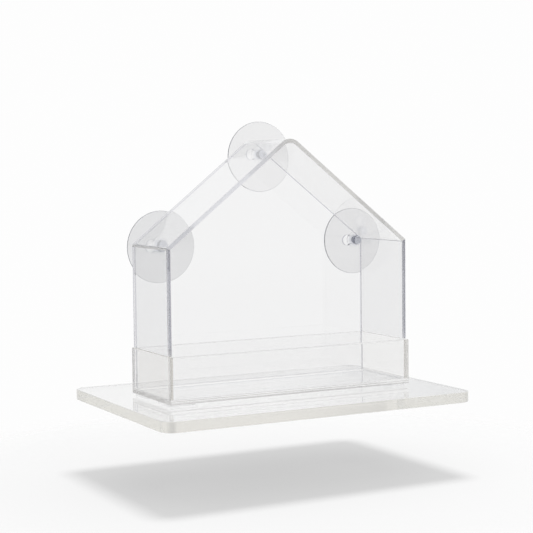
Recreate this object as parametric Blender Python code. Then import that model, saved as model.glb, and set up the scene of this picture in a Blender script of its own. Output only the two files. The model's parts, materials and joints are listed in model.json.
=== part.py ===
"""Window bird feeder of clear sheet: a house-shaped shell that stands in a low tray
on a thick deck, with suction cups hooked into keyholes in its back.

Metres, +Z up. The origin is the middle of the deck's underside, X runs along the
house's width, and the open front faces -Y."""

import math

import bmesh
import bpy
from mathutils import Matrix, Vector

# Sheet and joints
sheet = 0.003                  # thickness of every bent or flat sheet piece
joint_gap = 0.0003             # cement line or seat between two pieces
arc_steps = 10                 # facets in a small bend or corner

# House shell
house_width = 0.200            # across the outer faces of the side walls
house_depth = 0.062            # front edge to back edge
eave_height = 0.111            # eave corner above the tray's underside
ridge_rise = 0.0795            # sharp ridge line above the eave corner
ridge_bend_radius = 0.0105     # outer radius of the bend along the ridge

# Tray
tray_height = 0.034            # underside to the top of the lips
tray_bend_radius = 0.0035      # outer radius of the two bottom bends
lip_clearance = 0.001          # house edges to the inner faces of the lips
panel_floor_clearance = 0.001  # back panel's lower edge above the tray floor

# Deck and the pads under the tray
deck_length = 0.252
deck_depth = 0.176
deck_thickness = 0.008
deck_corner_radius = 0.010
deck_edge_chamfer = 0.0005
house_forward = 0.0045         # house centre in front of the deck's centre
pad_side = 0.022
pad_thickness = 0.0014
pad_corner_radius = 0.003

# Suction cups
cup_radius = 0.027
cup_seal_width = 0.0024        # flat ring that meets the window
cup_standoff = 0.0035          # panel's back face to the window
cup_hollow = 0.0014            # depth of the hollow under the disc
cup_edge_thickness = 0.0006
cup_root_thickness = 0.0014    # disc thickness where it leaves the hub
hub_radius = 0.0062
neck_radius = 0.0026
head_radius = 0.0037
head_height = 0.0046
head_edge_height = 0.0010      # straight rim of the mushroom head
cup_segments = 48
cup_rings = 6

# Keyholes
neck_clearance = 0.0003        # neck to the walls of its slot
entry_clearance = 0.0005       # head to the rim of the entry hole
keyhole_travel = 0.008         # entry hole centre to the seated neck
head_wall_clearance = 0.0013   # right cup's head to the side wall
head_roof_clearance = 0.0004   # every seated head to the roof's underside
cut_overrun = 0.002            # how far a cutter passes the panel's faces

# Places that follow from the sizes
slope = math.atan2(ridge_rise, house_width / 2)
house_y = -house_forward
house_front = house_y - house_depth / 2
house_back = house_y + house_depth / 2
tray_bottom = deck_thickness + 2 * joint_gap + pad_thickness
tray_floor = tray_bottom + sheet
tray_top = tray_bottom + tray_height
eave_z = tray_bottom + eave_height
ridge_z = eave_z + ridge_rise
lip_inner_half_depth = house_depth / 2 + lip_clearance
lip_outer_half_depth = lip_inner_half_depth + sheet
wall_inner_x = house_width / 2 - sheet
slope_sheet_drop = sheet / math.cos(slope)

right_neck_x = wall_inner_x - head_wall_clearance - head_radius
right_entry_x = right_neck_x - keyhole_travel
entry_radius = head_radius + entry_clearance
slot_half_width = neck_radius + neck_clearance


def roof_underside_z(x):
    """Height of the roof's straight underside above a place along the width."""
    return ridge_z - abs(x) * math.tan(slope) - slope_sheet_drop


def seated_neck_z(x):
    """Height of a cup whose mushroom head sits just under the roof."""
    return roof_underside_z(x) - (head_radius + head_roof_clearance) / math.cos(slope)


side_cup_z = seated_neck_z(right_neck_x)
ridge_cup_z = seated_neck_z(keyhole_travel)
cup_entries = {
    "left": (-right_entry_x, side_cup_z),
    "ridge": (0, ridge_cup_z),
    "right": (right_entry_x, side_cup_z),
}


def clear_old_objects():
    for old in list(bpy.data.objects):
        bpy.data.objects.remove(old, do_unlink=True)


def plastic(name, colour, roughness):
    """A clear or translucent plastic; the colour is what the sheet's bulk shows."""
    material = bpy.data.materials.new(name)
    material.use_nodes = True
    shader = material.node_tree.nodes["Principled BSDF"]
    shader.inputs["Base Color"].default_value = (*colour, 1)
    shader.inputs["Roughness"].default_value = roughness
    shader.inputs["Metallic"].default_value = 0
    shader.inputs["IOR"].default_value = 1.49
    material.diffuse_color = (*colour, 1)
    return material


def add_object(name, build, material, place, parent=None):
    """Turn a bmesh into a named object at its place in the model."""
    bmesh.ops.recalc_face_normals(build, faces=build.faces)
    mesh = bpy.data.meshes.new(name)
    build.to_mesh(mesh)
    build.free()
    mesh.materials.append(material)
    piece = bpy.data.objects.new(name, mesh)
    bpy.context.scene.collection.objects.link(piece)
    piece.location = place
    if parent:
        piece.parent = parent
        piece.matrix_parent_inverse = Matrix.Translation(-parent.location)
    return piece


def add_guide(name, place):
    """An empty that marks the place that a group of pieces moves from."""
    guide = bpy.data.objects.new(name, None)
    bpy.context.scene.collection.objects.link(guide)
    guide.location = place
    return guide


def arc(centre, radius, start, end, steps=arc_steps):
    """Points of an arc in a plane, both ends included, angles in degrees."""
    points = []
    for step in range(steps + 1):
        angle = math.radians(start + (end - start) * step / steps)
        points.append((centre[0] + radius * math.cos(angle), centre[1] + radius * math.sin(angle)))
    return points


def rounded_rectangle(length, width, radius):
    """Outline of a plate about its own centre, anticlockwise."""
    x = length / 2 - radius
    y = width / 2 - radius
    return (arc((x, y), radius, 0, 90) + arc((-x, y), radius, 90, 180)
            + arc((-x, -y), radius, 180, 270) + arc((x, -y), radius, 270, 360))


def extrude(outline, to_space, direction):
    """Closed solid: an outline carried into space by to_space and pulled along direction."""
    build = bmesh.new()
    corners = [build.verts.new(to_space(u, v)) for u, v in outline]
    face = build.faces.new(corners)
    pulled = bmesh.ops.extrude_face_region(build, geom=[face])
    moved = [item for item in pulled["geom"] if isinstance(item, bmesh.types.BMVert)]
    bmesh.ops.translate(build, verts=moved, vec=direction)
    return build


def flat_plate(outline, thickness):
    """Plate whose outline lies in X and Y and whose thickness goes up."""
    return extrude(outline, lambda x, y: (x, y, 0), Vector((0, 0, thickness)))


def along_depth(outline, depth):
    """Solid whose outline lies in X and Z, centred on Y."""
    return extrude(outline, lambda x, z: (x, -depth / 2, z), Vector((0, depth, 0)))


def along_width(outline, width):
    """Solid whose outline lies in Y and Z, centred on X."""
    return extrude(outline, lambda y, z: (-width / 2, y, z), Vector((width, 0, 0)))


def make_deck(clear):
    build = flat_plate(rounded_rectangle(deck_length, deck_depth, deck_corner_radius), deck_thickness)
    rims = [edge for edge in build.edges
            if abs(edge.verts[0].co.z - edge.verts[1].co.z) < joint_gap]
    bmesh.ops.bevel(build, geom=rims, offset=deck_edge_chamfer, segments=1,
                    affect="EDGES", profile=0.5, clamp_overlap=True)
    add_object("deck_plate", build, clear, (0, 0, 0))


def make_riser_pads(clear):
    """One pad under each corner of the tray, inside its bends and flush with its ends."""
    x = house_width / 2 - pad_side / 2
    y = lip_outer_half_depth - tray_bend_radius - pad_side / 2
    for side, across in (("left", -x), ("right", x)):
        for end, back in (("front", -y), ("back", y)):
            build = flat_plate(rounded_rectangle(pad_side, pad_side, pad_corner_radius), pad_thickness)
            place = (across, house_y + back, deck_thickness + joint_gap)
            add_object(f"riser_pad_{end}_{side}", build, clear, place)


def channel_outline():
    """Section of the bent tray: down the back lip, under the floor and up the front lip."""
    outer = lip_outer_half_depth
    inner = lip_inner_half_depth
    radius = tray_bend_radius
    inner_radius = max(radius - sheet, joint_gap)
    bend_y = outer - radius
    inner_bend_y = inner - inner_radius
    points = [(-outer, tray_height)]
    points += arc((-bend_y, radius), radius, 180, 270)
    points += arc((bend_y, radius), radius, 270, 360)
    points += [(outer, tray_height), (inner, tray_height)]
    points += arc((inner_bend_y, sheet + inner_radius), inner_radius, 0, -90)
    points += arc((-inner_bend_y, sheet + inner_radius), inner_radius, -90, -180)
    points += [(-inner, tray_height)]
    return points


def make_tray(clear):
    place = (0, house_y, tray_bottom)
    add_object("tray_channel", along_width(channel_outline(), house_width), clear, place)

    half = lip_inner_half_depth - joint_gap
    floor = sheet + joint_gap
    corner = max(tray_bend_radius - sheet, joint_gap)
    outline = [(half, tray_height), (-half, tray_height)]
    outline += arc((-half + corner, floor + corner), corner, 180, 270)
    outline += arc((half - corner, floor + corner), corner, 270, 360)
    x = house_width / 2 - sheet / 2
    for side, across in (("left", -x), ("right", x)):
        add_object(f"tray_end_{side}", along_width(outline, sheet), clear, (across, house_y, tray_bottom))


def make_side_walls(clear, shell):
    """Each wall stands on a tray end and is mitred to meet the roof's lower edge."""
    foot = tray_top + joint_gap
    outer_top = eave_z - joint_gap
    inner_top = roof_underside_z(wall_inner_x) - joint_gap
    for side, sign in (("left", -1), ("right", 1)):
        outline = [
            (sign * house_width / 2, foot),
            (sign * house_width / 2, outer_top),
            (sign * wall_inner_x, inner_top),
            (sign * wall_inner_x, foot),
        ]
        add_object(f"side_wall_{side}", along_depth(outline, house_depth), clear, (0, house_y, 0), shell)


def ridge_arc(offset):
    """The ridge's bend, from the left slope to the right one, offset inwards from the outer face."""
    centre = (0, ridge_z - ridge_bend_radius / math.cos(slope))
    tilt = math.degrees(slope)
    return arc(centre, ridge_bend_radius - offset, 90 + tilt, 90 - tilt, 2 * arc_steps)


def make_roof(clear, shell):
    half = house_width / 2
    outline = [(-half, eave_z)] + ridge_arc(0) + [(half, eave_z)]
    outline += [(wall_inner_x, roof_underside_z(wall_inner_x))]
    outline += list(reversed(ridge_arc(sheet)))
    outline += [(-wall_inner_x, roof_underside_z(wall_inner_x))]
    add_object("roof_sheet", along_depth(outline, house_depth), clear, (0, house_y, 0), shell)


def keyhole_outline():
    """Round entry hole about the origin, with a slot to the right that ends round the neck."""
    opening = math.degrees(math.asin(slot_half_width / entry_radius))
    points = arc((0, 0), entry_radius, opening, 360 - opening, 3 * arc_steps)
    points += arc((keyhole_travel, 0), slot_half_width, -90, 90, 2 * arc_steps)
    return points


def make_back_panel(clear, shell):
    """Five-sided pane between the walls, its back face flush with theirs."""
    side = wall_inner_x - joint_gap
    foot = tray_floor + panel_floor_clearance
    shoulder = roof_underside_z(side) - joint_gap / math.cos(slope)
    outline = [(side, foot), (side, shoulder)]
    outline += list(reversed(ridge_arc(sheet + joint_gap)))
    outline += [(-side, shoulder), (-side, foot)]
    place = (0, house_back - sheet / 2, 0)
    panel = add_object("back_panel", along_depth(outline, sheet), clear, place, shell)

    for name, (x, z) in cup_entries.items():
        cutter_depth = sheet + 2 * cut_overrun
        cutter = add_object(f"keyhole_cutter_{name}", along_depth(keyhole_outline(), cutter_depth), clear,
                            (x, house_back - sheet / 2, z), shell)
        cutter.hide_render = True
        cutter.display_type = "WIRE"
        cut = panel.modifiers.new(f"keyhole {name}", "BOOLEAN")
        cut.operation = "DIFFERENCE"
        cut.solver = "EXACT"
        cut.object = cutter


def cup_profile():
    """Half section of a cup as (radius, distance behind the panel's back face),
    from the tip of the head, over the disc's front, round its rim and to the hollow's middle."""
    neck_front = -sheet - joint_gap
    head_shoulder = neck_front - head_edge_height
    dome = head_height - head_edge_height
    head = [(head_radius * math.sin(angle), head_shoulder - dome * math.cos(angle))
            for angle in (math.radians(90 * step / cup_rings) for step in range(cup_rings + 1))]
    head += [(head_radius, neck_front), (neck_radius, neck_front), (neck_radius, joint_gap)]

    seal_radius = cup_radius - cup_seal_width

    def hollow(radius):
        share = min(radius / seal_radius, 1)
        return cup_standoff - cup_hollow * math.cos(share * math.pi / 2)

    def thickness(radius):
        share = (radius - hub_radius) / (cup_radius - hub_radius)
        return cup_root_thickness + (cup_edge_thickness - cup_root_thickness) * share

    front = [(hub_radius, joint_gap)]
    for ring in range(cup_rings + 1):
        radius = hub_radius + (cup_radius - hub_radius) * ring / cup_rings
        front.append((radius, hollow(radius) - thickness(radius)))
    back = [(cup_radius, cup_standoff)]
    for ring in range(cup_rings + 1):
        radius = seal_radius * (1 - ring / cup_rings)
        back.append((radius, hollow(radius)))
    return head + front + back


def turned(profile, segments):
    """Solid of revolution about the Y axis."""
    build = bmesh.new()
    points = [build.verts.new((radius, along, 0)) for radius, along in profile]
    edges = [build.edges.new(pair) for pair in zip(points, points[1:])]
    bmesh.ops.spin(build, geom=points + edges, cent=(0, 0, 0), axis=(0, 1, 0),
                   angle=math.tau, steps=segments, use_merge=True, use_duplicate=False)
    bmesh.ops.remove_doubles(build, verts=build.verts, dist=joint_gap / 100)
    return build


def make_suction_cups(soft, shell):
    """Each cup's origin is on its neck, at the panel's back face, where it slides in its keyhole."""
    for name, (x, z) in cup_entries.items():
        place = (x + keyhole_travel, house_back, z)
        cup = add_object(f"suction_cup_{name}", turned(cup_profile(), cup_segments), soft, place, shell)
        cup.data.shade_smooth()
        cup.data.set_sharp_from_angle(angle=math.radians(35))


def make_feeder():
    clear_old_objects()
    clear = plastic("clear acrylic sheet", (0.90, 0.92, 0.92), 0.02)
    thick = plastic("clear acrylic deck", (0.85, 0.86, 0.82), 0.02)
    pad = plastic("clear pad", (0.90, 0.90, 0.88), 0.10)
    soft = plastic("soft clear vinyl", (0.82, 0.83, 0.86), 0.20)

    make_deck(thick)
    make_riser_pads(pad)
    make_tray(clear)
    shell = add_guide("house_lift", (0, house_y, tray_top))
    make_side_walls(clear, shell)
    make_roof(clear, shell)
    make_back_panel(clear, shell)
    make_suction_cups(soft, shell)


make_feeder()
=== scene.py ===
# Window bird feeder in clear sheet: the finished look, built round the solid model
import json
import math

import bmesh
import bpy
from mathutils import Matrix, Vector


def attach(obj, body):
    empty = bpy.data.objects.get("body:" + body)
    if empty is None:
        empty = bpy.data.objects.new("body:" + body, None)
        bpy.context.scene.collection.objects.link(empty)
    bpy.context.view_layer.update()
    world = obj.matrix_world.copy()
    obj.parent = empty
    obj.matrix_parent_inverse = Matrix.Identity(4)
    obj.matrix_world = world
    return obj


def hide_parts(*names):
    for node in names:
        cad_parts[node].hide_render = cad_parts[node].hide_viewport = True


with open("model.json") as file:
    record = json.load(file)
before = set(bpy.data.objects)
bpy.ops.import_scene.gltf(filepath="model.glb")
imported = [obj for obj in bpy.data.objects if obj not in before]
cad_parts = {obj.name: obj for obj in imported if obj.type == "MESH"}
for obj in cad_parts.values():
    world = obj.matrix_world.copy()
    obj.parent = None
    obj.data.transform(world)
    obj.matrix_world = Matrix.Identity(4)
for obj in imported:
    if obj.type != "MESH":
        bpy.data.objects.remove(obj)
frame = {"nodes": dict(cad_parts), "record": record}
nodes = frame["nodes"]
bodyOf = {member: body for body, members in frame["record"]["behaviour"]["bodies"].items()
          for member in members}
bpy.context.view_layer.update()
scene = bpy.context.scene
print("solid model loaded:", len(nodes), "nodes")


# Box round some nodes, as one span for each axis, to the nearest micrometre
def boxOf(*names):
    spans = []
    for values in zip(*[corner for name in names for corner in nodes[name].bound_box]):
        low, high = round(min(values), 6), round(max(values), 6)
        spans.append({"low": low, "high": high, "size": high - low, "middle": (low + high) / 2})
    return spans


# Node helper: plain values are set on the socket, sockets are linked to it
def addNode(tree, kind, inputs=None, **settings):
    node = tree.nodes.new(kind)
    for name, value in settings.items():
        setattr(node, name, value)
    for key, value in (inputs or {}).items():
        if isinstance(value, bpy.types.NodeSocket):
            tree.links.new(value, node.inputs[key])
        else:
            node.inputs[key].default_value = value
    return node


def maths(tree, operation, *values):
    return addNode(tree, "ShaderNodeMath", dict(enumerate(values)), operation=operation).outputs[0]


def ranged(tree, value, given, wanted=(0.0, 1.0), curve="LINEAR"):
    return addNode(tree, "ShaderNodeMapRange", {
        "Value": value, "From Min": given[0], "From Max": given[1],
        "To Min": wanted[0], "To Max": wanted[1]}, interpolation_type=curve).outputs["Result"]


mixSockets = {"FLOAT": (2, 3, 0), "RGBA": (6, 7, 2)}  # a Mix node's two values and its result


def mixed(tree, kind, share, low, high):
    first, second, result = mixSockets[kind]
    node = addNode(tree, "ShaderNodeMix", {0: share, first: low, second: high}, data_type=kind)
    return node.outputs[result]


def blended(tree, share, first, second):
    return addNode(tree, "ShaderNodeMixShader", {0: share, 1: first, 2: second}).outputs[0]


def grey(level):
    return (level, level, level, 1)


def newMaterial(name):
    material = bpy.data.materials.new(name)
    material.use_nodes = True
    material.node_tree.nodes.clear()
    return material, material.node_tree


def linkObject(name, mesh):
    thing = bpy.data.objects.new(name, mesh)
    scene.collection.objects.link(thing)
    return thing


def plainMesh(source, name):
    bpy.context.view_layer.update()
    grown = source.evaluated_get(bpy.context.evaluated_depsgraph_get())
    mesh = bpy.data.meshes.new_from_object(grown)
    mesh.name = name
    return mesh


# Camera, set to the photograph's view of the front from its left. Angles are in radians
cameraView = {
    "lens": 96.17, "sensor": 36.0, "shift": (-0.02816, -0.00070), "clip": (0.05, 50),
    "turn": 0.49687, "dip": 0.06933, "roll": -0.00954,
    "distance": 1.07788, "target": (0.00852, -0.0045, 0.10215),
}


def addCamera():
    view = cameraView
    turn, dip, roll = view["turn"], view["dip"], view["roll"]
    level = Vector((math.sin(turn), math.cos(turn), 0))
    forward = level * math.cos(dip) - Vector((0, 0, math.sin(dip)))
    across = Vector((math.cos(turn), -math.sin(turn), 0))
    upward = across.cross(forward)
    right = across * math.cos(roll) + upward * math.sin(roll)
    up = upward * math.cos(roll) - across * math.sin(roll)
    lens = bpy.data.cameras.new("viewCamera")
    lens.lens, lens.sensor_width = view["lens"], view["sensor"]
    lens.shift_x, lens.shift_y = view["shift"]
    lens.clip_start, lens.clip_end = view["clip"]
    camera = linkObject("viewCamera", lens)
    axes = Matrix((right, up, -forward)).transposed().to_4x4()
    camera.matrix_world = Matrix.Translation(Vector(view["target"]) - forward * view["distance"]) @ axes
    scene.camera = camera


addCamera()
print("camera placed")


# Studio: white all round for what is seen directly or through the sheet, and a ring of
# brighter and darker walls for what the sheet mirrors, so that its edges and faces read
studio = {
    "white": 0.985,  # what is seen directly or straight through the sheet
    "fill": 0.18,  # light on the floor from all round
    "wallRing": [  # degrees from straight behind the feeder towards its right, brightness
        (-180, 0.80), (-150, 0.90), (-120, 0.95), (-90, 0.85), (-60, 0.90), (-34, 0.90),
        (-18, 0.80), (5, 0.93), (20, 0.90), (28, 0.925), (37, 0.72), (60, 0.95), (90, 0.90), (120, 0.90),
        (152, 1.00), (180, 0.85),
    ],
    "coolShade": (0.92, 0.95, 1.00),  # tint of the darker walls
    "ceiling": 1.02, "ceilingRange": (0.35, 0.80),  # what the sheet mirrors from above
    "low": 0.70, "lowRange": (-0.12, -0.40),  # and from below
    "lampPower": 77.5, "lampSize": 1.1, "lampHeight": 3.0, "lampPlace": (0.16, -0.06),
    "floorHeight": -0.0578, "floorRadius": 1.6, "floorSides": 96, "fadeRange": (0.19, 0.33),
    "floorColour": (0.96, 0.96, 0.96),
}


def makeWallRing(tree, around):
    ring = addNode(tree, "ShaderNodeValToRGB", {"Fac": around})
    ramp = ring.color_ramp
    ramp.interpolation = "EASE"
    stops = studio["wallRing"]
    for extra in range(len(stops) - 2):
        ramp.elements.new(0.5)
    for element, (degrees, level) in zip(ramp.elements, stops):
        element.position = (degrees + 180) / 360
        element.color = (*[level * (level + (1 - level) * part) for part in studio["coolShade"]], 1)
    return ring.outputs["Color"]


# The white is for light that hasn't been mirrored, the ring for light that has, and the fill for
# all that falls on the floor
def makeWorld():
    world = bpy.data.worlds.new("whiteStudio")
    scene.world = world
    world.use_nodes = True
    tree = world.node_tree
    tree.nodes.clear()
    direction = addNode(tree, "ShaderNodeTexCoord").outputs["Generated"]
    parts = addNode(tree, "ShaderNodeSeparateXYZ", {0: direction}).outputs
    angle = maths(tree, "ARCTAN2", parts["X"], parts["Y"])
    ring = makeWallRing(tree, ranged(tree, angle, (-math.pi, math.pi)))
    upness = ranged(tree, parts["Z"], studio["ceilingRange"], curve="SMOOTHSTEP")
    downness = ranged(tree, parts["Z"], studio["lowRange"], curve="SMOOTHSTEP")
    upper = mixed(tree, "RGBA", upness, ring, grey(studio["ceiling"]))
    mirrored = mixed(tree, "RGBA", downness, upper, grey(studio["low"]))
    path = addNode(tree, "ShaderNodeLightPath").outputs
    bounced = maths(tree, "GREATER_THAN", path["Glossy Depth"], 0.5)
    seen = mixed(tree, "RGBA", bounced, grey(studio["white"]), mirrored)
    sharp = maths(tree, "MAXIMUM", path["Is Glossy Ray"], path["Is Transmission Ray"])
    shown = maths(tree, "MAXIMUM", path["Is Camera Ray"], sharp)
    backdrop = addNode(tree, "ShaderNodeBackground", {"Color": seen, "Strength": 1.0}).outputs[0]
    fill = addNode(tree, "ShaderNodeBackground", {"Color": grey(1), "Strength": studio["fill"]}).outputs[0]
    addNode(tree, "ShaderNodeOutputWorld", {"Surface": blended(tree, shown, fill, backdrop)})


def makeLamp():
    light = bpy.data.lights.new("overheadSoftbox", "AREA")
    light.shape = "DISK"
    light.size = studio["lampSize"]
    light.energy = studio["lampPower"]
    lamp = linkObject("overheadSoftbox", light)
    lamp.location = (*studio["lampPlace"], studio["floorHeight"] + studio["lampHeight"])
    lamp.visible_glossy = False
    lamp.visible_transmission = False


# The floor takes the shadow and fades out round it
def makeFloor():
    build = bmesh.new()
    bmesh.ops.create_circle(build, cap_ends=True, segments=studio["floorSides"],
                            radius=studio["floorRadius"])
    bmesh.ops.translate(build, verts=build.verts, vec=(0, 0, studio["floorHeight"]))
    mesh = bpy.data.meshes.new("paleFloor")
    build.to_mesh(mesh)
    build.free()
    material, tree = newMaterial("paleFloor")
    place = addNode(tree, "ShaderNodeTexCoord").outputs["Object"]
    centred = addNode(tree, "ShaderNodeVectorMath", {0: place, 1: (1, 1, 0)}, operation="MULTIPLY")
    reach = addNode(tree, "ShaderNodeVectorMath", {0: centred.outputs[0]}, operation="LENGTH")
    fade = ranged(tree, reach.outputs["Value"], studio["fadeRange"], curve="SMOOTHSTEP")
    matt = addNode(tree, "ShaderNodeBsdfDiffuse", {"Color": (*studio["floorColour"], 1)}).outputs[0]
    clear = addNode(tree, "ShaderNodeBsdfTransparent").outputs[0]
    addNode(tree, "ShaderNodeOutputMaterial", {"Surface": blended(tree, fade, matt, clear)})
    mesh.materials.append(material)
    floor = linkObject("paleFloor", mesh)


makeWorld()
makeLamp()
makeFloor()
scene.view_settings.view_transform = "Standard"
scene.cycles.caustics_refractive = False  # the lamp passes the sheet by its own shadow shader
scene.cycles.caustics_reflective = False
scene.cycles.max_bounces = 160  # light runs a long way inside the sheets
scene.cycles.glossy_bounces = 160
scene.cycles.transmission_bounces = 64
scene.cycles.transparent_max_bounces = 64
print("studio lit")


# Clear plastics. A look holds these:
# pass and cutPass, the share of light that a face lets by, and that a cut edge does; besides the
# sheet's own grey they hold painted shade, each piece and its cut edges set to its own darker or
# paler tone;
# tint and perMetre, what the bulk takes out of the light along its way;
# polish and cutPolish, their roughness, and wave and cutWave, how deep they ripple in metres;
# letOut, how many times light is mirrored inside before it is let straight out;
# seamPass, the share let by there, and at faces that are seams, on the panel's edges a painted dark line;
# lampShade, the share of the lamp's light that each face lets on to what lies below;
# shift, other tones from one place to another along an axis, for faces that look along facing:
# painted light and shade, lighter or darker towards one end or side
plainLook = {
    "ior": 1.49, "polish": 0.010, "cutPolish": 0.10, "wave": 0.000008, "cutWave": 0.000006,
    "letOut": 40, "seamPass": (1.0, 1.0, 1.0), "lampShade": 1.0,
}
sheetLooks = {
    "wall": {
        "pass": (0.938, 0.938, 0.939), "cutPass": (0.38, 0.38, 0.43),
        "tint": (0.35, 0.36, 0.42), "perMetre": 6.0, "cutPolish": 0.15, "letOut": 160,
        # painted highlight: a lighter strip across one side of the wall's front cut edge
        "shift": {"along": "X", "from": -0.0986, "to": -0.0991, "facing": "Y",
                  "cutPass": (0.75, 0.75, 0.78)}},
    "roof": {
        "pass": (0.998, 0.998, 1.000), "cutPass": (0.78, 0.78, 0.83),
        "tint": (0.35, 0.36, 0.40), "perMetre": 1.0, "cutPolish": 0.35,
        # painted light and shade: the roof's cut edges are slate on the left, paler and warmer from just
        # left of the middle to the right
        "shift": {"along": "X", "from": -0.02, "to": 0.0, "cutPass": (0.84, 0.82, 0.77)}},
    "panel": {
        "pass": (0.908, 0.908, 0.910), "tint": (0.35, 0.36, 0.40), "perMetre": 0.6,
        # painted shade: a dark line on the panel's edges, its keyholes' edges among them
        "seamPass": (0.68, 0.68, 0.72),
        # painted shade: the panel darker towards the bottom
        "shift": {"along": "Z", "from": 0.105, "to": 0.075, "pass": (0.896, 0.896, 0.898)}},
    "tray": {
        "pass": (0.981, 0.980, 0.980), "cutPass": (0.50, 0.49, 0.48),
        "tint": (0.40, 0.38, 0.30), "perMetre": 0.8, "cutPolish": 0.06,
        "wave": 0.000002, "cutWave": 0.000002, "letOut": 8,
        # painted light: the tray's sheet lighter low down
        "shift": {"along": "Z", "from": 0.020, "to": 0.016, "pass": (0.999, 0.999, 0.999)}},
    "trayEnd": {
        "pass": (0.925, 0.918, 0.904), "cutPass": (0.66, 0.64, 0.60),
        "tint": (0.40, 0.38, 0.30), "perMetre": 0.8,
        "wave": 0.000004, "cutWave": 0.000002, "letOut": 12, "seamPass": (0.965, 0.955, 0.925)},
    "deck": {
        "pass": (0.974, 0.973, 0.970), "cutPass": (0.912, 0.897, 0.860),
        "tint": (0.38, 0.37, 0.25), "perMetre": 0.7, "polish": 0.004,
        "wave": 0.000001, "cutWave": 0.000002, "letOut": 6, "lampShade": 0.843},
    "pad": {
        "pass": (0.99, 0.99, 0.99), "cutPass": (0.95, 0.95, 0.95),
        "tint": (0.40, 0.42, 0.46), "perMetre": 1.0, "polish": 0.004, "cutPolish": 0.03,
        "wave": 0.000002, "cutWave": 0.000002, "letOut": 6},
}
# The right wall and the right tray end are shaded copies of the left ones, painted shade: the same sheet,
# the wall darker, the tray end darker on its faces and paler on its cut edges
sheetLooks["wallRight"] = {
    **sheetLooks["wall"], "pass": (0.866, 0.866, 0.869),
    "shift": {**sheetLooks["wall"]["shift"], "from": 0.0984, "to": 0.0979}}
sheetLooks["trayEndRight"] = {
    **sheetLooks["trayEnd"], "pass": (0.890, 0.888, 0.882), "cutPass": (0.77, 0.75, 0.72),
    "seamPass": (0.99, 0.99, 0.99)}

# Grain that every clear plastic shares: long waves, shorter ones on cut edges, and fine rubbing
# that makes the roughness swing
grain = {
    "waveScale": 22.0, "cutWaveScale": 70.0, "waveDetail": 1.0,
    "rubScale": 340.0, "rubDetail": 4.0, "rubRange": (0.35, 0.75), "swing": (0.8, 1.2),
}


def noise(tree, place, scale, detail):
    return addNode(tree, "ShaderNodeTexNoise",
                   {"Vector": place, "Scale": scale, "Detail": detail}).outputs["Fac"]


def rippledNormal(tree, look, place, cutOrShade):
    wave = noise(tree, place, grain["waveScale"], grain["waveDetail"])
    cutWave = noise(tree, place, grain["cutWaveScale"], grain["waveDetail"])
    onFaces = addNode(tree, "ShaderNodeBump",
                      {"Height": wave, "Strength": 1.0, "Distance": look["wave"]}).outputs["Normal"]
    return addNode(tree, "ShaderNodeBump", {
        "Height": cutWave, "Strength": cutOrShade, "Distance": look["cutWave"],
        "Normal": onFaces}).outputs["Normal"]


def rubbedRoughness(tree, look, place, cutOrShade):
    rub = noise(tree, place, grain["rubScale"], grain["rubDetail"])
    middle = mixed(tree, "FLOAT", cutOrShade, look["polish"], look["cutPolish"])
    return maths(tree, "MULTIPLY", middle, ranged(tree, rub, grain["rubRange"], grain["swing"]))


# Share of a look's painted light and shade at each place along its axis
def paintedShadingShare(tree, shift, place):
    spot = addNode(tree, "ShaderNodeSeparateXYZ", {0: place}).outputs[shift["along"]]
    share = ranged(tree, spot, (shift["from"], shift["to"]))
    if "facing" in shift:
        normal = addNode(tree, "ShaderNodeNewGeometry").outputs["Normal"]
        toward = addNode(tree, "ShaderNodeSeparateXYZ", {0: normal}).outputs[shift["facing"]]
        share = maths(tree, "MULTIPLY", share, maths(tree, "ABSOLUTE", toward))
    return share


# A face's tone with its painted shade: the cut tone where a face is marked, and the shift's painted light
# and shade along the axis
def passedColour(tree, look, place, cutOrShade):
    tones = {key: (*look[key], 1) for key in ("pass", "cutPass")}
    if "shift" in look:
        shift = look["shift"]
        share = paintedShadingShare(tree, shift, place)
        tones = {key: mixed(tree, "RGBA", share, tone, (*shift.get(key, look[key]), 1))
                 for key, tone in tones.items()}
    return mixed(tree, "RGBA", cutOrShade, tones["pass"], tones["cutPass"])


# Light that would run round inside a sheet without end is let out after letOut reflections, and
# a seam lets it straight through
def clearPlastic(name, ownLook):
    look = {**plainLook, "cutPass": ownLook["pass"], **ownLook}  # the panel has no cutPass of its own
    material, tree = newMaterial(name)
    place = addNode(tree, "ShaderNodeTexCoord").outputs["Object"]
    # cut edges, and the cups' heads and rim lines, take the cut tone: painted shade
    cutOrShade = addNode(tree, "ShaderNodeAttribute", attribute_name="cutFace").outputs["Fac"]
    seam = addNode(tree, "ShaderNodeAttribute", attribute_name="seamFace").outputs["Fac"]
    body = addNode(tree, "ShaderNodeBsdfPrincipled", {
        "Base Color": passedColour(tree, look, place, cutOrShade), "Transmission Weight": 1.0,
        "IOR": look["ior"], "Roughness": rubbedRoughness(tree, look, place, cutOrShade),
        "Normal": rippledNormal(tree, look, place, cutOrShade)}).outputs[0]
    leaving = addNode(tree, "ShaderNodeBsdfTransparent", {"Color": (*look["seamPass"], 1)}).outputs[0]
    lampLight = addNode(tree, "ShaderNodeBsdfTransparent", {"Color": grey(look["lampShade"])}).outputs[0]
    path = addNode(tree, "ShaderNodeLightPath").outputs
    longWay = maths(tree, "GREATER_THAN", path["Glossy Depth"], look["letOut"])
    seen = blended(tree, maths(tree, "MAXIMUM", longWay, seam), body, leaving)
    surface = blended(tree, path["Is Shadow Ray"], seen, lampLight)
    bulk = addNode(tree, "ShaderNodeVolumeAbsorption",
                   {"Color": (*look["tint"], 1), "Density": look["perMetre"]}).outputs[0]
    addNode(tree, "ShaderNodeOutputMaterial", {"Surface": surface, "Volume": bulk})
    return material


materials = {kind: clearPlastic(kind + "Acrylic", look) for kind, look in sheetLooks.items()}
print("clear plastics mixed:", ", ".join(materials))


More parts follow.
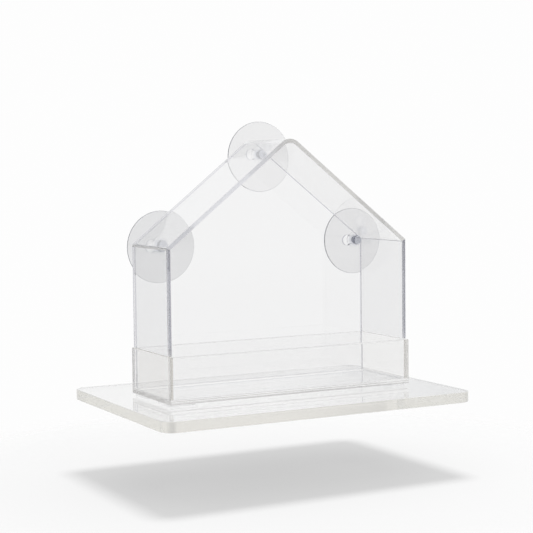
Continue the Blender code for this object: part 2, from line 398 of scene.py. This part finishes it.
# Geometry Nodes helpers: a tree with named inputs, and a plain mesh grown from it
mergeReach = 0.000002  # points nearer than this are one


def newTree(name, inputs):
    tree = bpy.data.node_groups.new(name, "GeometryNodeTree")
    for key, kind in inputs.items():
        tree.interface.new_socket(key, in_out="INPUT", socket_type="NodeSocket" + kind)
    tree.interface.new_socket("Geometry", in_out="OUTPUT", socket_type="NodeSocketGeometry")
    return tree, addNode(tree, "NodeGroupInput").outputs


def closeTree(tree, geometry, finish):
    merged = addNode(tree, "GeometryNodeRealizeInstances", {"Geometry": geometry}).outputs[0]
    finished = addNode(tree, "GeometryNodeSetMaterial", {"Geometry": merged, "Material": finish}).outputs[0]
    addNode(tree, "NodeGroupOutput", {"Geometry": finished})
    return tree


def grownMesh(name, tree, values):
    seed = linkObject(name, bpy.data.meshes.new(name + "Seed"))
    grow = seed.modifiers.new("grow", "NODES")
    grow.node_group = tree
    sockets = {item.name: item.identifier for item in tree.interface.items_tree if item.in_out == "INPUT"}
    for key, value in values.items():
        grow[sockets[key]] = value
    mesh = plainMesh(seed, name)
    bpy.data.objects.remove(seed)
    return mesh


# Inside a tree, a closed outline gets round corners, is filled and is thickened upwards
def thickened(tree, outline, given, rise):
    rounded = addNode(tree, "GeometryNodeFilletCurve", {
        "Curve": outline, "Radius": given["Corner Radius"], "Count": given["Corner Steps"]},
        mode="POLY").outputs[0]
    under = addNode(tree, "GeometryNodeFillCurve", {"Curve": rounded}, mode="NGONS").outputs[0]
    upward = addNode(tree, "ShaderNodeCombineXYZ", {"Z": rise}).outputs[0]
    raised = addNode(tree, "GeometryNodeExtrudeMesh",
                     {"Mesh": under, "Offset": upward, "Offset Scale": 1.0, "Individual": False}).outputs[0]
    foot = addNode(tree, "GeometryNodeFlipFaces", {"Mesh": under}).outputs[0]
    both = addNode(tree, "GeometryNodeJoinGeometry")
    tree.links.new(foot, both.inputs[0])
    tree.links.new(raised, both.inputs[0])
    return addNode(tree, "GeometryNodeMergeByDistance",
                   {"Geometry": both.outputs[0], "Distance": mergeReach}).outputs[0]


# A flat plate with round corners, once or in rows and columns about a middle
def plateTree():
    tree, given = newTree("roundedPlates", {
        "Width": "Float", "Depth": "Float", "Corner Radius": "Float", "Corner Steps": "Int",
        "Thickness": "Float", "Columns": "Int", "Rows": "Int", "Column Gap": "Float", "Row Gap": "Float",
        "Middle": "Vector", "Finish": "Material"})
    outline = addNode(tree, "GeometryNodeCurvePrimitiveQuadrilateral",
                      {"Width": given["Width"], "Height": given["Depth"]}).outputs[0]
    plate = thickened(tree, outline, given, given["Thickness"])
    places = addNode(tree, "GeometryNodeMeshGrid", {
        "Size X": given["Column Gap"], "Size Y": given["Row Gap"],
        "Vertices X": given["Columns"], "Vertices Y": given["Rows"]}).outputs["Mesh"]
    copies = addNode(tree, "GeometryNodeInstanceOnPoints", {"Points": places, "Instance": plate}).outputs[0]
    moved = addNode(tree, "GeometryNodeTransform",
                    {"Geometry": copies, "Translation": given["Middle"]}).outputs[0]
    return closeTree(tree, moved, given["Finish"])


# A bent sheet from its section: the section lies in its own X and Y, which become the model's
# Y and Z, and the sheet runs along X
def bentSheetTree():
    tree, given = newTree("bentSheet", {
        "Section": "Object", "Corner Radius": "Float", "Corner Steps": "Int", "Length": "Float",
        "Place": "Vector", "Finish": "Material"})
    corners = addNode(tree, "GeometryNodeObjectInfo", {"Object": given["Section"]}).outputs["Geometry"]
    line = addNode(tree, "GeometryNodeMeshToCurve", {"Mesh": corners}).outputs[0]
    solid = thickened(tree, line, given, given["Length"])
    stood = addNode(tree, "GeometryNodeTransform", {
        "Geometry": solid, "Translation": given["Place"],
        "Rotation": (math.pi / 2, 0.0, math.pi / 2)}).outputs[0]
    return closeTree(tree, stood, given["Finish"])


# Parts of a face's unit normal, past which the face counts as looking that way
slightly = 0.1
mostly = 0.9
towardSeam = 0.3
towardMitre = 0.5


# Faces that count as cut, by look: those seen as edges, and not the sheet's broad faces; they take
# the look's cut tone, painted shade on the edges, and its cut roughness and ripples
def cutShare(look, normal):
    if look in ("deck", "pad"):
        return float(abs(normal.z) < mostly)
    if look == "tray":
        return float(abs(normal.x) > slightly or (abs(normal.y) > slightly and normal.z < -slightly))
    if look.startswith("trayEnd"):
        return float(abs(normal.x) < slightly and normal.z < slightly)
    if look.startswith("wall"):
        return float(normal.y < -slightly or normal.z > towardMitre)
    if look == "roof":
        return float(normal.y < -slightly)
    return 0.0


# Faces that let light straight through: the walls' feet and the tops of the tray's ends, where they
# meet, and the panel's edges, where the panel's seamPass paints a dark line of shade
def seamShare(look, normal):
    if look.startswith("wall"):
        return float(normal.z < -towardSeam)
    if look.startswith("trayEnd"):
        return float(normal.z > towardSeam)
    if look == "panel":
        return float(abs(normal.y) < slightly)
    return 0.0


# Easing of the sheets' cut edges, with angles in degrees: flats within one are joined, and edges
# past the other are eased
easing = {"weld": 0.000001, "flatWithin": 0.4, "sharpPast": 25, "steps": 2, "fullness": 0.6}


# The sheet's cut edges are eased and its faces kept flat, as polished sheet has them
def finishSheet(mesh, name, look, ease, replaced):
    build = bmesh.new()
    build.from_mesh(mesh)
    bmesh.ops.remove_doubles(build, verts=build.verts, dist=easing["weld"])
    bmesh.ops.dissolve_limit(build, angle_limit=math.radians(easing["flatWithin"]),
                             verts=build.verts, edges=build.edges)
    bmesh.ops.recalc_face_normals(build, faces=build.faces)
    sharp = [edge for edge in build.edges
             if len(edge.link_faces) == 2 and edge.calc_face_angle() > math.radians(easing["sharpPast"])]
    bmesh.ops.bevel(build, geom=sharp, offset=ease, segments=easing["steps"], profile=easing["fullness"],
                    affect="EDGES", clamp_overlap=True)
    bmesh.ops.recalc_face_normals(build, faces=build.faces)
    cutLayer = build.faces.layers.float.new("cutFace")
    seamLayer = build.faces.layers.float.new("seamFace")
    for face in build.faces:
        face[cutLayer] = cutShare(look, face.normal)
        face[seamLayer] = seamShare(look, face.normal)
    eased = bpy.data.meshes.new(name)
    build.to_mesh(eased)
    build.free()
    eased.materials.clear()
    eased.materials.append(materials[look])
    eased.shade_smooth()
    piece = linkObject(name, eased)
    flatten = piece.modifiers.new("keepFacesFlat", "WEIGHTED_NORMAL")
    flatten.mode = "FACE_AREA"
    flatten.weight = 100
    piece.data = plainMesh(piece, name)
    piece.modifiers.remove(flatten)
    body = bodyOf[replaced[0]]
    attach(piece, body)
    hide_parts(*replaced)


# Deck and the pads under the tray's corners, as big as their nodes and where they are
deckShape = {"nodes": ["deck_plate"], "columns": 1, "rows": 1,
             "cornerRadius": 0.010, "cornerSteps": 14, "ease": 0.0006}
padShape = {"nodes": ["riser_pad_front_left", "riser_pad_front_right",
                      "riser_pad_back_left", "riser_pad_back_right"], "columns": 2, "rows": 2,
            "cornerRadius": 0.003, "cornerSteps": 8, "ease": 0.0002}


def makePlates(tree, name, look, shape):
    wide, deep, high = boxOf(shape["nodes"][0])
    allWide, allDeep, allHigh = boxOf(*shape["nodes"])
    plates = grownMesh(name, tree, {
        "Width": wide["size"], "Depth": deep["size"], "Thickness": high["size"],
        "Corner Radius": shape["cornerRadius"], "Corner Steps": shape["cornerSteps"],
        "Columns": shape["columns"], "Rows": shape["rows"],
        "Column Gap": allWide["size"] - wide["size"], "Row Gap": allDeep["size"] - deep["size"],
        "Middle": (allWide["middle"], allDeep["middle"], allHigh["low"]), "Finish": materials[look]})
    finishSheet(plates, name, look, shape["ease"], shape["nodes"])


# Tray trough, one sheet bent sharply up into two lips, as big as its node
trayShape = {"sheet": 0.003, "cornerRadius": 0.0009, "cornerSteps": 5, "ease": 0.0002}


def makeTrayTrough():
    tray = trayShape
    long, deep, high = boxOf("tray_channel")
    reach, top, sheet = deep["size"] / 2, high["size"], tray["sheet"]
    inner = reach - sheet
    corners = [(-reach, 0), (reach, 0), (reach, top), (inner, top),
               (inner, sheet), (-inner, sheet), (-inner, top), (-reach, top)]
    section = bpy.data.meshes.new("traySection")
    section.from_pydata([(across, up, 0) for across, up in corners],
                        [(spot, (spot + 1) % len(corners)) for spot in range(len(corners))], [])
    guide = linkObject("traySection", section)
    trough = grownMesh("trayTrough", bentSheetTree(), {
        "Section": guide, "Corner Radius": tray["cornerRadius"], "Corner Steps": tray["cornerSteps"],
        "Length": long["size"], "Place": (long["low"], deep["middle"], high["low"]),
        "Finish": materials["tray"]})
    bpy.data.objects.remove(guide)
    finishSheet(trough, "trayTrough", "tray", tray["ease"], ["tray_channel"])


# Cut panes, each its node's own solid with the edges eased: its name and its look
paneParts = {
    "tray_end_left": ("trayEndLeft", "trayEnd"), "tray_end_right": ("trayEndRight", "trayEndRight"),
    "side_wall_left": ("houseWallLeft", "wall"), "side_wall_right": ("houseWallRight", "wallRight"),
    "back_panel": ("housePanelBack", "panel"), "roof_sheet": ("houseRoof", "roof"),
}
paneEase = 0.0002

roundedPlates = plateTree()
makePlates(roundedPlates, "deckSlab", "deck", deckShape)
makePlates(roundedPlates, "trayPads", "pad", padShape)
makeTrayTrough()
for node, (name, look) in paneParts.items():
    finishSheet(nodes[node].data, name, look, paneEase, [node])
print("sheets finished: the deck, the pads, the trough and", len(paneParts), "panes")


# Suction cups, each one profile turned about its own axis, at its node's middle
cupShape = {
    "radius": 0.027, "sealWidth": 0.0024, "standoff": 0.0035, "hollow": 0.0014,
    "rim": 0.0016, "root": 0.0012, "hubRadius": 0.0062, "neckRadius": 0.0026,
    "headRadius": 0.0037, "headHeight": 0.0046, "headEdge": 0.0010,
    "sheet": 0.003, "gap": 0.0003, "ease": 0.0004,
    "rings": 16, "headSteps": 12, "rimSteps": 6, "turnSteps": 96, "sharpPast": 40,
    # painted shade: a dark line round the rim, marked for the cut tone
    "rimShadeLine": (2.0, 1.2),  # middle and reach of the dark line, in points from the rim's start
}
# The cut tone darkens the heads and the rim line: painted shade, on top of what the vinyl's bulk takes out
# in the thick head
cupLook = {"ior": 1.50, "cutPass": (0.42, 0.44, 0.51), "tint": (0.50, 0.50, 0.52), "perMetre": 40.0,
           "polish": 0.06, "cutPolish": 0.06, "wave": 0.00002, "cutWave": 0.00001}
# Each cup's own tones, painted shade: the same vinyl darkest on the left cup and palest on the right one,
# and the left and ridge cups paler low down
cupShadeTones = {
    "left": {"pass": (0.800, 0.802, 0.808),
             "shift": {"along": "Z", "from": 0.124, "to": 0.112, "pass": (0.843, 0.843, 0.848)}},
    "ridge": {"pass": (0.876, 0.875, 0.877),
              "shift": {"along": "Z", "from": 0.192, "to": 0.180, "pass": (0.970, 0.968, 0.970)}},
    "right": {"pass": (0.902, 0.901, 0.905)},
}


# From the tip of the head, round the outside to the seal and back up the hollow's middle
def cupProfile():
    cup = cupShape
    ease, seal, steps = cup["ease"], cup["radius"] - cup["sealWidth"], cup["rings"]
    shoulder = -cup["sheet"] - cup["gap"]
    dome = cup["headHeight"] - cup["headEdge"]
    quarter = [math.pi / 2 * step / cup["headSteps"] for step in range(cup["headSteps"] + 1)]
    points = [(cup["headRadius"] * math.sin(a), shoulder - cup["headEdge"] - dome * math.cos(a))
              for a in quarter]
    points += [(cup["headRadius"], shoulder - ease), (cup["headRadius"] - ease, shoulder),
               (cup["neckRadius"] + ease, shoulder), (cup["neckRadius"], shoulder + ease),
               (cup["neckRadius"], cup["gap"])]
    headPoints = len(points)

    def hollowAt(radius):
        return cup["standoff"] - cup["hollow"] * math.cos(min(radius / seal, 1) * math.pi / 2)

    points += [(cup["hubRadius"] - ease, cup["gap"]), (cup["hubRadius"], cup["gap"] + ease)]
    for ring in range(steps + 1):
        share = ring / steps
        radius = cup["hubRadius"] + (cup["radius"] - cup["rim"] / 2 - cup["hubRadius"]) * share
        thick = cup["root"] + (cup["rim"] - cup["root"]) * share
        points.append((radius, hollowAt(radius) - thick))
    rimPoints = len(points)
    half = cup["rim"] / 2
    halfTurn = [math.pi * step / cup["rimSteps"] for step in range(1, cup["rimSteps"] + 1)]
    points += [(cup["radius"] - half + half * math.sin(a), cup["standoff"] - half - half * math.cos(a))
               for a in halfTurn]
    points += [(seal * (1 - ring / steps), hollowAt(seal * (1 - ring / steps))) for ring in range(steps + 1)]
    return points, headPoints, rimPoints


# A grid becomes the cup: its X is the share of a turn and its Y the way along the profile
def turningTree():
    tree, given = newTree("turnedCup", {
        "Profile": "Object", "Turn Steps": "Int", "Head Points": "Int", "Rim Points": "Int",
        "Place": "Vector", "Finish": "Material"})
    profile = addNode(tree, "GeometryNodeObjectInfo", {"Object": given["Profile"]}).outputs["Geometry"]
    count = addNode(tree, "GeometryNodeAttributeDomainSize", {"Geometry": profile}).outputs["Point Count"]
    grid = addNode(tree, "GeometryNodeMeshGrid", {
        "Size X": 1.0, "Size Y": 1.0, "Vertices X": maths(tree, "ADD", given["Turn Steps"], 1.0),
        "Vertices Y": count}).outputs["Mesh"]
    here = addNode(tree, "GeometryNodeInputPosition").outputs[0]
    parts = addNode(tree, "ShaderNodeSeparateXYZ", {0: here}).outputs
    turn = maths(tree, "MULTIPLY", parts["X"], math.tau)
    along = maths(tree, "ADD", parts["Y"], 0.5)
    spot = maths(tree, "MULTIPLY", along, maths(tree, "SUBTRACT", count, 1.0))
    index = maths(tree, "ROUND", spot)
    sample = addNode(tree, "GeometryNodeSampleIndex",
                     {"Geometry": profile, "Value": here, "Index": index},
                     data_type="FLOAT_VECTOR", domain="POINT").outputs[0]
    turned = addNode(tree, "ShaderNodeVectorRotate",
                     {"Vector": sample, "Axis": (0.0, 1.0, 0.0), "Angle": turn},
                     rotation_type="AXIS_ANGLE").outputs[0]
    moved = addNode(tree, "ShaderNodeVectorMath", {0: turned, 1: given["Place"]}, operation="ADD").outputs[0]
    # The head and a line at the rim are marked for the darker cut tone, painted shade
    onHead = maths(tree, "LESS_THAN", index, given["Head Points"])
    fromRim = maths(tree, "SUBTRACT", index, given["Rim Points"])
    onRim = maths(tree, "COMPARE", fromRim, *cupShape["rimShadeLine"])
    marked = addNode(tree, "GeometryNodeStoreNamedAttribute",
                     {"Geometry": grid, "Name": "cutFace", "Value": maths(tree, "MAXIMUM", onHead, onRim)},
                     data_type="FLOAT", domain="POINT").outputs[0]
    shaped = addNode(tree, "GeometryNodeSetPosition", {"Geometry": marked, "Position": moved}).outputs[0]
    closed = addNode(tree, "GeometryNodeMergeByDistance",
                     {"Geometry": shaped, "Distance": mergeReach}).outputs[0]
    return closeTree(tree, closed, given["Finish"])


def pointOut(mesh):
    build = bmesh.new()
    build.from_mesh(mesh)
    bmesh.ops.recalc_face_normals(build, faces=build.faces)
    build.to_mesh(mesh)
    build.free()


def makeCups():
    outline = bpy.data.meshes.new("cupProfile")
    points, headPoints, rimPoints = cupProfile()
    outline.from_pydata([(radius, along, 0) for radius, along in points],
                        [(spot, spot + 1) for spot in range(len(points) - 1)], [])
    profile = linkObject("cupProfile", outline)
    tree = turningTree()
    for side, tones in cupShadeTones.items():
        name = "cup" + side.capitalize()
        wide, deep, high = boxOf("suction_cup_" + side)
        place = (wide["middle"], deep["high"] - cupShape["standoff"], high["middle"])
        vinyl = clearPlastic(name + "Vinyl", {**cupLook, **tones})
        cup = linkObject(name, grownMesh(name, tree, {
            "Profile": profile, "Turn Steps": cupShape["turnSteps"], "Head Points": headPoints,
            "Rim Points": rimPoints, "Place": place, "Finish": vinyl}))
        pointOut(cup.data)
        cup.data.shade_smooth()
        cup.data.set_sharp_from_angle(angle=math.radians(cupShape["sharpPast"]))
        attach(cup, "cup_" + side)
        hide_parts("suction_cup_" + side)
    bpy.data.objects.remove(profile)


makeCups()
print("suction cups turned")
